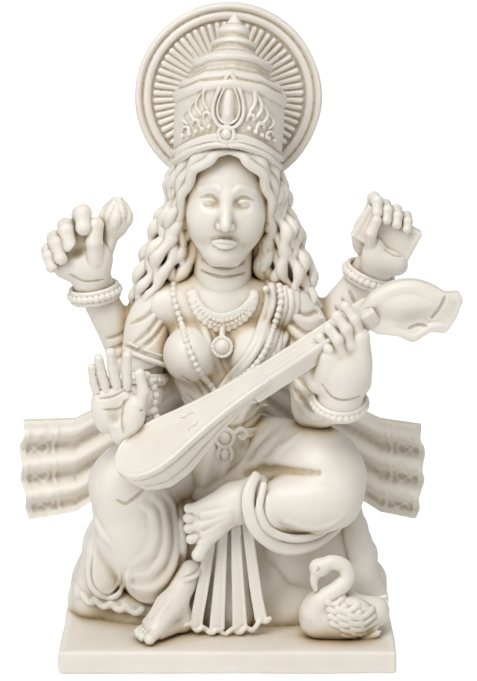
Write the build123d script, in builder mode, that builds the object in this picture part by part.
from build123d import *

import os
from math import cos, pi, radians, sin

# A four-armed goddess figurine in bonded cast marble, seated on a draped rock on a flat plate.
# She plays a long-necked lute with her front hands. Her rear hands hold a lotus bud and a book.
# A swan sits at her feet and a round halo stands behind her crown. Nothing on it moves.
#
# Frame, in millimetres: +Z up, -Y is the front, +X is the viewer's right, and the origin is the
# centre of the plate's underside. "right" and "left" in names are the figure's own.

# ---- driving dimensions -------------------------------------------------------------------
PLATE_WIDTH = 78.0
PLATE_DEPTH = 56.0
PLATE_THICKNESS = 5.5
TOTAL_HEIGHT = 150.0

HALO_RADIUS = 22.0
HALO_THICKNESS = 3.4
HALO_BACK = 17.4
RAY_COUNT = 60

HEAD_LEAN = radians(3.0)
NECK_BASE = Vector(-1.8, 3.5, 84.0)
HEAD_AXIS = Vector(sin(HEAD_LEAN), 0, cos(HEAD_LEAN))
CROWN_RADIUS = 13.0
CROWN_START = 29.5
CROWN_TIP = 64.2

LUTE_START = Vector(-24.8, -22.5, 47.0)
LUTE_END = Vector(32.0, -15.0, 83.2)
LUTE_FACING = Vector(-0.41, -0.49, 0.77)
LUTE_HALF_WIDTH = 7.6
LUTE_NECK_WIDTH = 6.4
BOARD_THICKNESS = 1.2

BEAD_RADIUS = 0.62

# Joints of the figure's skeleton.
HIP_RIGHT = Vector(-9, 5, 41)
KNEE_RIGHT = Vector(-24.5, -9.5, 42)
HIP_LEFT = Vector(8, 5, 43)
KNEE_LEFT = Vector(25.5, -8, 41.5)
ANKLE_LEFT = Vector(3.5, -15.5, 37)
SHOULDER_RIGHT = Vector(-18, 4, 78.5)
SHOULDER_LEFT = Vector(17, 4, 78.5)
ELBOW_FRONT_RIGHT = Vector(-19.5, 0.5, 60)
WRIST_FRONT_RIGHT = Vector(-22.5, -14, 52.5)
ELBOW_FRONT_LEFT = Vector(20, -3, 56)
WRIST_FRONT_LEFT = Vector(27, -13.5, 62)
ELBOW_REAR_RIGHT = Vector(-23.5, 10, 66)
WRIST_REAR_RIGHT = Vector(-30.6, 8, 83)
ELBOW_REAR_LEFT = Vector(23.5, 10, 73)
WRIST_REAR_LEFT = Vector(33, 8, 87)

os.makedirs("parts", exist_ok=True)
finished = []


def head_point(height, forward=0.0, side=0.0):
    """A point up the leaning head axis, moved forward and to the viewer's right."""
    return NECK_BASE + HEAD_AXIS * height + Vector(side, -forward, 0)


def oval_points(half_width, half_depth, count=8):
    return [
        (half_width * cos(2 * pi * i / count), half_depth * sin(2 * pi * i / count))
        for i in range(count)
    ]


def station_plane(points, index, side):
    """The plane square to the path through the points, at one of them."""
    before = points[max(index - 1, 0)]
    after = points[min(index + 1, len(points) - 1)]
    tangent = (after - before).normalized()
    across = side - tangent * side.dot(tangent)
    return Plane(origin=points[index], x_dir=across.normalized(), z_dir=tangent)


def loft_ovals(sections):
    """Lofts one smooth solid through sections of (plane, half width, half depth)."""
    with BuildPart() as body:
        for plane, half_width, half_depth in sections:
            with BuildSketch(plane):
                with BuildLine():
                    Spline(*oval_points(half_width, half_depth), periodic=True)
                make_face()
        loft()
    return body.part


def body_through(stations, side=Vector(1, 0, 0)):
    """Lofts through stations of (centre, half width, half depth), square to their path."""
    points = [Vector(station[0]) for station in stations]
    return loft_ovals(
        [
            (station_plane(points, index, side), half_width, half_depth)
            for index, (_, half_width, half_depth) in enumerate(stations)
        ]
    )


def level_body(stations):
    """Lofts through level ovals of (height, half width, half depth, x, y)."""
    return loft_ovals(
        [
            (Plane(origin=(x, y, height)), half_width, half_depth)
            for height, half_width, half_depth, x, y in stations
        ]
    )


def rounded(stations):
    """Adds a small station past each end, so that a lofted limb ends in a dome."""
    points = [Vector(station[0]) for station in stations]
    out_start = (points[0] - points[1]).normalized()
    out_end = (points[-1] - points[-2]).normalized()
    first, last = stations[0], stations[-1]
    start = (points[0] + out_start * min(first[1:]) * 0.8, first[1] * 0.5, first[2] * 0.5)
    end = (points[-1] + out_end * min(last[1:]) * 0.8, last[1] * 0.5, last[2] * 0.5)
    return [start] + list(stations) + [end]


def limb(*stations, side=Vector(1, 0, 0)):
    """A limb with domed ends through (point, radius) stations."""
    return body_through(rounded([(point, radius, radius) for point, radius in stations]), side)


def fit_round(*neighbours):
    """Cuts the bonding seat of each neighbour out of the piece being built."""
    for neighbour in neighbours:
        add(neighbour.part, mode=Mode.SUBTRACT)


def clear_round(start, end, radius):
    """Cuts a straight round clearance for a neighbouring limb out of the piece being built."""
    direction = Vector(end) - Vector(start)
    with BuildPart() as clearance:
        with BuildSketch(Plane(origin=start, z_dir=direction)):
            Circle(radius)
        extrude(amount=direction.length)
    add(clearance.part, mode=Mode.SUBTRACT)


def finish(name, piece, smallest=0.5):
    """Drops slivers left by the seats, then labels the piece and writes its file."""
    solids = [solid for solid in piece.part.solids() if solid.volume > smallest]
    piece.part = Part(solids) if len(solids) > 1 else Part([solids[0]])
    piece.part.label = name
    export_step(piece.part, f"parts/{name}.step")
    finished.append(name)


# ---- plate --------------------------------------------------------------------------------
with BuildPart() as base_plate:
    with BuildSketch():
        RectangleRounded(PLATE_WIDTH, PLATE_DEPTH, 1.2)
    extrude(amount=PLATE_THICKNESS)
    fillet(base_plate.edges().group_by(Axis.Z)[-1], radius=0.7)
finish("base_plate", base_plate)

# ---- trunk and legs -----------------------------------------------------------------------
with BuildPart() as torso:
    add(
        body_through(
            [
                ((0, 6, 38), 13, 9),
                ((-0.5, 6, 47), 11.5, 8.5),
                ((-1, 5.5, 56), 9.4, 7.2),
                ((-1, 4.5, 66), 11, 8.3),
                ((-1, 4, 75), 13, 8.6),
                ((-1.2, 4, 81), 14, 7),
                ((-1.6, 3.8, 84.6), 9, 5.6),
                ((-1.8, 3.6, 87), 5.6, 5),
            ]
        )
    )
    for bust_x in (-8, 5.8):
        add(limb((Vector(bust_x, 0, 70.5), 5.2), (Vector(bust_x, -4, 69.5), 4.6)))
finish("torso", torso)

with BuildPart() as right_leg_drape:
    add(limb((HIP_RIGHT, 8), ((HIP_RIGHT + KNEE_RIGHT) / 2, 8.2), (KNEE_RIGHT, 7)))
    add(
        body_through(
            [
                ((-24, -8.5, 47), 4, 4),
                (KNEE_RIGHT, 7.6, 7.4),
                ((-22.5, -8, 30), 8.6, 7.4),
                ((-21, -7, 20), 9.6, 7.2),
                ((-20.5, -6, 12), 9.2, 6.4),
            ]
        )
    )
    fit_round(torso)
finish("right_leg_drape", right_leg_drape)

with BuildPart() as left_leg_drape:
    add(limb((HIP_LEFT, 8.4), ((HIP_LEFT + KNEE_LEFT) / 2, 8.8), (KNEE_LEFT, 7.4)))
    add(
        limb(
            (KNEE_LEFT + Vector(0.5, -2, -4), 7),
            (Vector(17, -12, 35.5), 7.4),
            (Vector(10, -14, 35), 5.8),
            side=Vector(0, 0, 1),
        )
    )
    fit_round(torso)
finish("left_leg_drape", left_leg_drape)

with BuildPart() as left_leg_hem:
    add(
        body_through(
            [
                ((8, -12.5, 33), 2.5, 4),
                ((11, -11.5, 27.5), 2.6, 5),
                ((18, -9.5, 25), 2.6, 5),
                ((26, -7, 28.5), 2.4, 4),
                ((30, -4, 33), 1.6, 3),
            ],
            side=Vector(0, 0, 1),
        )
    )
    fit_round(left_leg_drape)
finish("left_leg_hem", left_leg_hem)

with BuildPart() as right_foot:
    add(
        body_through(
            rounded(
                [
                    ((-14.5, -9.5, 18.5), 3.2, 3.2),
                    ((-15, -13, 13.5), 3.8, 3.2),
                    ((-16.5, -18, 9.4), 4.4, 2.2),
                    ((-17.4, -21.5, 7.4), 4, 1.4),
                ]
            )
        )
    )
    split(bisect_by=Plane.XY.offset(PLATE_THICKNESS))
    fit_round(right_leg_drape)
finish("right_foot", right_foot)

with BuildPart() as left_foot:
    add(
        body_through(
            rounded(
                [
                    (ANKLE_LEFT, 3.2, 3),
                    ((0, -16.5, 34.5), 4, 2.6),
                    ((-4, -17.5, 31.5), 4.8, 2.2),
                    ((-7, -18, 30), 4.6, 1.7),
                ]
            ),
            side=Vector(0, 0, 1),
        )
    )
    fit_round(left_leg_drape, left_leg_hem)
finish("left_foot", left_foot)

with BuildPart() as front_pleats:
    add(
        level_body(
            [
                (PLATE_THICKNESS, 9.6, 4.4, 0.5, -11.5),
                (16, 7.4, 3.8, 0.5, -10.5),
                (25, 5.6, 3.2, 0.5, -10),
                (31, 4.6, 2.6, 0.5, -10),
            ]
        )
    )
    fit_round(left_leg_drape, left_leg_hem)
finish("front_pleats", front_pleats)

with BuildPart() as rock_seat:
    add(
        level_body(
            [
                (PLATE_THICKNESS, 35.5, 17, 0.5, 10),
                (14, 34, 15.5, 0.5, 10),
                (24, 30.5, 14, 0.5, 9.5),
                (33, 26, 12, 0.5, 9),
                (38, 19, 9, 0.5, 9),
            ]
        )
    )
    fit_round(torso, right_leg_drape, left_leg_drape)
finish("rock_seat", rock_seat)

with BuildPart() as seat_cloth:
    add(
        body_through(
            [
                ((9.5, -7.5, 9.5), 3.2, 1.6),
                ((15, -6.5, 8.6), 3.0, 1.8),
                ((21, -4.5, 9.5), 3.2, 1.8),
                ((27, -1.5, 11), 3.4, 1.6),
            ],
            side=Vector(0, 0, 1),
        )
    )
    split(bisect_by=Plane.XY.offset(PLATE_THICKNESS))
    fit_round(rock_seat)
finish("seat_cloth", seat_cloth)

# ---- head, hair, crown and halo -----------------------------------------------------------
with BuildPart() as head:
    add(
        body_through(
            [
                (head_point(2.6), 4.8, 4.8),
                (head_point(6.4, 1.2), 4.9, 5.4),
                (head_point(9.4, 3.2), 5.4, 8),
                (head_point(14, 2.2), 8.2, 9.6),
                (head_point(20, 1.2), 9.5, 10.4),
                (head_point(26, 0.8), 9.6, 10.2),
                (head_point(32, 0.4), 8.4, 8.8),
            ]
        )
    )
    add(limb((head_point(21.4, 10.4), 0.9), (head_point(17.2, 12.2), 1.3)))
    fit_round(torso)
finish("head", head)


def crown_slice(profile):
    """Turns a profile of (radius, height) points about the leaning head axis."""
    turning_plane = Plane(origin=NECK_BASE, x_dir=(0, 1, 0), z_dir=Vector(0, 1, 0).cross(HEAD_AXIS))
    with BuildPart() as slice_part:
        with BuildSketch(turning_plane):
            with BuildLine():
                Polyline((0, profile[0][1]), *profile, (0, profile[-1][1]), close=True)
            make_face()
        revolve(axis=Axis(NECK_BASE, HEAD_AXIS))
    return slice_part.part


with BuildPart() as crown_band:
    add(
        crown_slice(
            [
                (CROWN_RADIUS - 1.0, CROWN_START),
                (CROWN_RADIUS + 0.2, CROWN_START + 1.2),
                (CROWN_RADIUS + 0.2, CROWN_START + 4.2),
                (CROWN_RADIUS - 0.4, CROWN_START + 5.0),
            ],
        )
    )
    fit_round(head)
finish("crown_band", crown_band)

with BuildPart() as crown_body:
    add(
        crown_slice(
            [
                (CROWN_RADIUS - 0.6, CROWN_START + 5.0),
                (CROWN_RADIUS - 0.2, CROWN_START + 10.0),
                (CROWN_RADIUS - 0.6, CROWN_START + 15.0),
                (CROWN_RADIUS - 2.2, CROWN_START + 16.5),
                (CROWN_RADIUS - 1.6, CROWN_START + 18.0),
                (CROWN_RADIUS - 4.6, CROWN_START + 21.5),
            ],
        )
    )
finish("crown_body", crown_body)

with BuildPart() as crown_finial:
    add(
        crown_slice(
            [
                (8.6, CROWN_START + 21.5),
                (9.0, CROWN_START + 22.6),
                (6.4, CROWN_START + 25.0),
                (6.8, CROWN_START + 26.2),
                (4.2, CROWN_START + 28.4),
                (3.6, CROWN_START + 30.5),
                (0.4, CROWN_TIP),
            ],
        )
    )
finish("crown_finial", crown_finial)

with BuildPart() as crown_jewel:
    jewel_plane = Plane(
        origin=head_point(CROWN_START + 12.5, CROWN_RADIUS - 1.0), x_dir=(1, 0, 0), z_dir=(0, -1, 0)
    )
    with BuildSketch(jewel_plane):
        with BuildLine():
            Spline((0, -3.8), (3.4, -1.2), (0, 5.6), tangents=[(1, 0), (-0.4, 1)])
            Spline((0, -3.8), (-3.4, -1.2), (0, 5.6), tangents=[(-1, 0), (0.4, 1)])
        make_face()
    extrude(amount=1.6)
    with BuildSketch(Plane(origin=head_point(CROWN_START + 6.4, CROWN_RADIUS - 0.2), z_dir=(0, -1, 0))):
        Circle(2.1)
    extrude(amount=1.0)
    fit_round(crown_body, crown_band)
finish("crown_jewel", crown_jewel)

halo_centre = Vector(0.3, HALO_BACK, TOTAL_HEIGHT - HALO_RADIUS)
halo_plane = Plane(origin=halo_centre, x_dir=(1, 0, 0), z_dir=(0, -1, 0))
with BuildPart() as halo:
    with BuildSketch(halo_plane):
        Circle(HALO_RADIUS)
    extrude(amount=HALO_THICKNESS - 1.0)
    fillet(halo.faces().sort_by(Axis.Y)[0].edges(), radius=1.2)
    with BuildSketch(halo_plane.offset(HALO_THICKNESS - 1.0)):
        Circle(HALO_RADIUS - 2.2)
        Circle(HALO_RADIUS - 3.4, mode=Mode.SUBTRACT)
    extrude(amount=0.9)
    with BuildSketch(halo_plane.offset(HALO_THICKNESS - 1.0)):
        with PolarLocations(HALO_RADIUS - 7.6, RAY_COUNT):
            Rectangle(6.4, 0.8)
    extrude(amount=0.7)
    fit_round(crown_band, crown_body)
finish("halo", halo)

with BuildPart() as hair_right:
    add(
        body_through(
            rounded(
                [
                    ((-11.2, 4.5, 109), 2.8, 4.6),
                    ((-12.2, 5, 103), 3.2, 4.8),
                    ((-14.2, 5.5, 95), 4, 4.8),
                    ((-17, 6.5, 87), 4.6, 4.4),
                    ((-19, 6.6, 84), 2.8, 3),
                ]
            )
        )
    )
    fit_round(head)
finish("hair_right", hair_right)

with BuildPart() as hair_left:
    add(
        body_through(
            rounded(
                [
                    ((9.6, 4.5, 109), 2.8, 4.6),
                    ((10.8, 5, 104), 3.4, 4.8),
                    ((12.8, 5.5, 96), 4.4, 4.8),
                    ((15.6, 6.5, 88), 5, 4.4),
                    ((18, 6.6, 84.5), 3, 3),
                ]
            )
        )
    )
    fit_round(head)
finish("hair_left", hair_left)

with BuildPart() as hair_back:
    add(
        body_through(
            rounded(
                [
                    ((-1, 11, 108), 9, 4),
                    ((-1.2, 12, 98), 11, 4.4),
                    ((-1.4, 13, 86), 11.5, 4),
                    ((-1.4, 14, 74), 9.5, 3.2),
                    ((-1.2, 14, 64), 6, 2.4),
                ]
            )
        )
    )
    fit_round(head, torso, halo)
finish("hair_back", hair_back)

# ---- arms and hands -----------------------------------------------------------------------
with BuildPart() as front_right_sleeve:
    add(limb((SHOULDER_RIGHT, 5.6), (Vector(-19.4, 3, 69.5), 5.2), (ELBOW_FRONT_RIGHT, 4.6)))
    fit_round(torso, hair_right, hair_back)
finish("front_right_sleeve", front_right_sleeve)

with BuildPart() as front_right_forearm:
    add(limb((ELBOW_FRONT_RIGHT + Vector(-0.3, -1.5, -1.5), 3.8), (WRIST_FRONT_RIGHT, 2.9)))
    fit_round(front_right_sleeve)
finish("front_right_forearm", front_right_forearm)

with BuildPart() as front_right_hand:
    add(
        body_through(
            rounded(
                [
                    (WRIST_FRONT_RIGHT + Vector(-1, -1.5, 0), 3, 2.6),
                    ((-26, -15.5, 57), 4.6, 2.6),
                    ((-27.5, -15.5, 63), 4.8, 2.2),
                    ((-28, -15.5, 69), 4.2, 1.6),
                ]
            )
        )
    )
    fit_round(front_right_forearm)
finish("front_right_hand", front_right_hand)

with BuildPart() as front_left_sleeve:
    add(limb((SHOULDER_LEFT, 5.8), (Vector(19.5, 3, 69), 5.4), (ELBOW_FRONT_LEFT, 4.8)))
    fit_round(torso, hair_left)
finish("front_left_sleeve", front_left_sleeve)

with BuildPart() as front_left_forearm:
    add(limb((ELBOW_FRONT_LEFT + Vector(1.4, -2.4, 0.4), 4.4), (WRIST_FRONT_LEFT, 4.4)))
    fit_round(front_left_sleeve)
finish("front_left_forearm", front_left_forearm)

with BuildPart() as rear_right_arm:
    add(limb((SHOULDER_RIGHT + Vector(-1.8, 6.6, -2), 4.2), (ELBOW_REAR_RIGHT, 4.6)))
    add(limb((ELBOW_REAR_RIGHT + Vector(-0.4, 0, 0.6), 4.5), (WRIST_REAR_RIGHT, 3.6)))
    clear_round((-17.8, 4.4, 92), (-19.7, 1.8, 54), 6.3)
finish("rear_right_arm", rear_right_arm)

with BuildPart() as rear_left_arm:
    add(limb((SHOULDER_LEFT + Vector(1.2, 6.6, -2), 4.2), (ELBOW_REAR_LEFT, 4.6)))
    add(limb((ELBOW_REAR_LEFT + Vector(0.3, 0, 0.6), 4.5), (WRIST_REAR_LEFT, 3.8)))
    clear_round((16.6, 4.4, 92), (20.6, 1.2, 54), 6.5)
finish("rear_left_arm", rear_left_arm)

with BuildPart() as rear_right_hand:
    add(
        body_through(
            rounded(
                [
                    (WRIST_REAR_RIGHT + Vector(-0.4, 0, 2.4), 3.2, 2.8),
                    ((-31.8, 7, 90), 4.8, 3.2),
                    ((-33.4, 5.6, 95.5), 6.4, 4),
                    ((-33, 5.4, 100.5), 5, 3.6),
                ]
            )
        )
    )
    fit_round(rear_right_arm)
finish("rear_right_hand", rear_right_hand)

with BuildPart() as lotus_bud:
    add(limb((Vector(-27.4, 5, 95.5), 1.6), (Vector(-25.8, 5, 99.5), 2.9), (Vector(-25.2, 5, 103), 2.2)))
    fit_round(rear_right_hand)
finish("lotus_bud", lotus_bud)

with BuildPart() as rear_left_hand:
    add(
        body_through(
            rounded(
                [
                    (WRIST_REAR_LEFT + Vector(0.6, -0.4, 2.2), 3.2, 2.8),
                    ((35, 6.5, 93), 4.2, 3),
                    ((35.6, 5.6, 98.5), 4.6, 3),
                    ((35.4, 5, 102.5), 3.6, 2.6),
                ]
            )
        )
    )
    fit_round(rear_left_arm)
finish("rear_left_hand", rear_left_hand)

with BuildPart() as scripture_book:
    book_plane = Plane(origin=(39, 2.6, 96.5), x_dir=(0.86, 0.06, -0.5), z_dir=(0, -1, 0))
    with BuildSketch(book_plane):
        RectangleRounded(9.4, 6.4, 0.8)
    extrude(amount=1.9, both=True)
    fit_round(rear_left_hand)
finish("scripture_book", scripture_book)

# ---- lute ---------------------------------------------------------------------------------
lute_along = (LUTE_END - LUTE_START).normalized()
lute_face = LUTE_FACING - lute_along * LUTE_FACING.dot(lute_along)
lute_plane = Plane(origin=LUTE_START, x_dir=lute_along, z_dir=lute_face)
lute_length = (LUTE_END - LUTE_START).length
BOWL_LENGTH = 32.0

with BuildPart() as lute_board:
    with BuildSketch(lute_plane):
        with BuildLine():
            Spline(
                (0, 0),
                (9, LUTE_HALF_WIDTH),
                (22, LUTE_HALF_WIDTH - 2.8),
                (BOWL_LENGTH, LUTE_NECK_WIDTH / 2),
                tangents=[(0, 1), (1, 0)],
            )
            Spline(
                (0, 0),
                (9, -LUTE_HALF_WIDTH),
                (22, -LUTE_HALF_WIDTH + 2.8),
                (BOWL_LENGTH, -LUTE_NECK_WIDTH / 2),
                tangents=[(0, -1), (1, 0)],
            )
            Line((BOWL_LENGTH, LUTE_NECK_WIDTH / 2), (BOWL_LENGTH, -LUTE_NECK_WIDTH / 2))
        make_face()
    extrude(amount=BOARD_THICKNESS)
finish("lute_board", lute_board)

BOWL_PROFILE = (
    (0.6, 2.2, 1.2),
    (4, 6.0, 4.4),
    (10, 7.3, 6.4),
    (18, 6.2, 5.6),
    (26, 4.2, 3.8),
    (BOWL_LENGTH + 1, 2.6, 2.6),
)


def lute_section(along):
    """The plane across the lute at a distance from its round end."""
    origin = lute_plane.from_local_coords(Vector(along, 0, 0))
    return Plane(origin=origin, x_dir=lute_plane.y_dir, z_dir=lute_along)


with BuildPart() as lute_bowl:
    add(loft_ovals([(lute_section(along), width, depth) for along, width, depth in BOWL_PROFILE]))
    split(bisect_by=lute_plane, keep=Keep.BOTTOM)
finish("lute_bowl", lute_bowl)

with BuildPart() as lute_neck:
    neck_start = lute_plane.from_local_coords(Vector(BOWL_LENGTH, 0, -1.1))
    with BuildSketch(Plane(origin=neck_start, x_dir=lute_plane.y_dir, z_dir=lute_along)):
        RectangleRounded(LUTE_NECK_WIDTH, 4.4, 0.9)
    extrude(amount=lute_length - BOWL_LENGTH)
    fit_round(lute_bowl)
finish("lute_neck", lute_neck)

with BuildPart() as lute_head:
    add(
        body_through(
            [
                (LUTE_END + lute_along * 0.05, 2.8, 2.2),
                ((37, -14.4, 83.6), 5.2, 2.6),
                ((42.6, -14.2, 82.8), 7, 2.8),
                ((48, -14, 82.6), 5.2, 2.6),
                ((53, -14, 84.4), 2.2, 1.8),
            ],
            side=Vector(0, 0, 1),
        )
    )
    fit_round(lute_neck)
finish("lute_head", lute_head)

with BuildPart() as front_left_hand:
    add(
        body_through(
            rounded(
                [
                    (WRIST_FRONT_LEFT + Vector(-0.2, -1.6, 2), 4, 3.2),
                    ((27, -16, 69), 5, 3),
                    ((26, -17.6, 75.5), 5, 2.6),
                    ((24.6, -17.8, 80.5), 4, 2),
                ]
            )
        )
    )
    fit_round(front_left_forearm, lute_neck)
finish("front_left_hand", front_left_hand)

# ---- cloth, belt and jewellery ------------------------------------------------------------
with BuildPart() as shawl_tail_right:
    with BuildSketch(Plane.XZ.offset(-13)):
        with BuildLine():
            Spline((-9, 65), (-24, 57), (-37, 48.5), (-49, 49.5))
            Polyline((-49, 49.5), (-51, 38), (-47.5, 24.5))
            Spline((-47.5, 24.5), (-37, 27), (-24, 36), (-9, 49))
            Line((-9, 49), (-9, 65))
        make_face()
    extrude(amount=4.2)
    fit_round(torso, right_leg_drape)
finish("shawl_tail_right", shawl_tail_right)

with BuildPart() as shawl_tail_left:
    with BuildSketch(Plane.XZ.offset(-13)):
        with BuildLine():
            Spline((9, 65), (24, 56), (37, 48.5), (47.5, 48))
            Polyline((47.5, 48), (48.5, 36), (44, 24.5))
            Spline((44, 24.5), (38, 25.5), (24, 36), (9, 49))
            Line((9, 49), (9, 65))
        make_face()
    extrude(amount=4.2)
    fit_round(torso, left_leg_drape)
finish("shawl_tail_left", shawl_tail_left)

with BuildPart() as shoulder_sash:
    add(
        body_through(
            [
                ((12, 1.6, 85), 3.4, 1.8),
                ((11.6, -4.4, 80), 3.6, 1.8),
                ((7.4, -8.2, 70), 4, 1.8),
                ((1.5, -5.4, 60), 3.6, 1.6),
                ((-2.6, -4.4, 55), 3, 1.4),
            ]
        )
    )
    fit_round(torso)
finish("shoulder_sash", shoulder_sash)

BELT_PROFILE = ((48.4, 0.0), (50.0, 0.9), (51.8, 0.0))

with BuildPart() as waist_belt:
    add(level_body([(z, 11.6 + grow, 9 + grow, -0.6, 5.8) for z, grow in BELT_PROFILE]))
    fit_round(torso, right_leg_drape, left_leg_drape, shawl_tail_right, shawl_tail_left)
finish("waist_belt", waist_belt)

with BuildPart() as belt_ornament:
    with BuildSketch(Plane(origin=(-0.6, -3.4, 50), z_dir=(0, -1, 0))):
        Circle(2.6)
        with Locations((0, -3.4)):
            Circle(1.7)
    extrude(amount=1.8)
    fit_round(waist_belt)
finish("belt_ornament", belt_ornament)

collar_plane = Plane(origin=(-1.4, -0.6, 80.5), x_dir=(1, 0, 0), z_dir=(0, -0.65, 0.76))

with BuildPart() as bib_necklace:
    with BuildSketch(collar_plane):
        Circle(9.0)
        Circle(6.4, mode=Mode.SUBTRACT)
    extrude(amount=1.5)
    split(bisect_by=Plane(origin=collar_plane.origin, z_dir=(0, -1, 0)))
    fit_round(torso, head)
finish("bib_necklace", bib_necklace)

with BuildPart() as pendant:
    with BuildSketch(Plane(origin=(-1.2, -4.6, 72.2), z_dir=(0, -1, 0))):
        Circle(2.6)
    extrude(amount=2.6)
    with BuildSketch(Plane(origin=(-1.2, -7.2, 72.2), z_dir=(0, -1, 0))):
        Circle(1.3)
    extrude(amount=0.5)
    fit_round(torso, bib_necklace)
finish("pendant", pendant)


def garland_beads(path_points, bead_count):
    """Separate beads, evenly spaced along a curve that lies on the chest."""
    with BuildLine() as string:
        Spline(*path_points)
    for index in range(bead_count):
        with Locations(string.line @ (index / (bead_count - 1))):
            Sphere(BEAD_RADIUS)


with BuildPart() as bead_garland:
    garland_beads([(-11.6, -4.6, 82), (-9.4, -8.8, 75), (-7.2, -11, 68), (-4.4, -8.6, 61)], 16)
    garland_beads([(12.4, -7.6, 82), (11, -10.4, 75), (7.2, -12, 67.5), (3.4, -10.6, 62)], 16)
    fit_round(torso)
finish("bead_garland", bead_garland, smallest=0.05)


def bangle(centre, direction, radius, wire_radius):
    """Two plain rings side by side around an arm."""
    axis = Vector(direction).normalized()
    with BuildPart() as rings:
        for offset in (-wire_radius * 0.8, wire_radius * 0.8):
            with Locations(Plane(origin=Vector(centre) + axis * offset, z_dir=axis).location):
                Torus(radius, wire_radius)
    return rings.part


with BuildPart() as front_right_armlet:
    add(bangle(ELBOW_FRONT_RIGHT + Vector(0.1, 0.6, 4), Vector(0.02, 0.1, 1), 5.2, 0.8))
    fit_round(front_right_sleeve)
finish("front_right_armlet", front_right_armlet)

with BuildPart() as front_right_bangle:
    add(bangle(WRIST_FRONT_RIGHT + Vector(0.3, 2, 1), WRIST_FRONT_RIGHT - ELBOW_FRONT_RIGHT, 3.6, 0.7))
    fit_round(front_right_forearm, front_right_hand)
finish("front_right_bangle", front_right_bangle)

with BuildPart() as front_left_bangle:
    add(bangle(WRIST_FRONT_LEFT + Vector(-0.4, 0, -0.6), Vector(0.1, -0.4, 1), 5.2, 0.8))
    fit_round(front_left_forearm)
finish("front_left_bangle", front_left_bangle)

with BuildPart() as rear_right_bangle:
    add(bangle(WRIST_REAR_RIGHT - Vector(-0.3, 0, 1), WRIST_REAR_RIGHT - ELBOW_REAR_RIGHT, 4.4, 0.8))
    fit_round(rear_right_arm)
finish("rear_right_bangle", rear_right_bangle)

with BuildPart() as rear_left_bangle:
    add(bangle(WRIST_REAR_LEFT - Vector(0.4, 0, 0.6), WRIST_REAR_LEFT - ELBOW_REAR_LEFT, 4.6, 0.8))
    fit_round(rear_left_arm)
finish("rear_left_bangle", rear_left_bangle)

# ---- swan ---------------------------------------------------------------------------------
with BuildPart() as swan_body:
    add(
        body_through(
            rounded(
                [
                    ((20.5, -18, 11.5), 4, 4.2),
                    ((25, -17, 11.8), 5.4, 5.4),
                    ((30, -16, 12.4), 5, 5.2),
                    ((35, -15, 13), 2.8, 3.2),
                ]
            ),
            side=Vector(0, 0, 1),
        )
    )
    split(bisect_by=Plane.XY.offset(PLATE_THICKNESS))
finish("swan_body", swan_body)

with BuildPart() as swan_neck:
    add(
        limb(
            (Vector(20, -19.5, 13.5), 2.4),
            (Vector(24.6, -19, 16.6), 2.1),
            (Vector(27.4, -18.6, 20.4), 1.8),
            (Vector(25.4, -18.6, 23.8), 1.7),
            (Vector(22.2, -18.8, 23.4), 1.9),
            side=Vector(0, 1, 0),
        )
    )
    fit_round(swan_body)
finish("swan_neck", swan_neck)

with BuildPart() as swan_head:
    add(limb((Vector(21.6, -19, 21.8), 2.0), (Vector(20.2, -20, 18), 1.1), side=Vector(0, 1, 0)))
    fit_round(swan_neck, swan_body)
finish("swan_head", swan_head)

print(len(finished), "pieces")
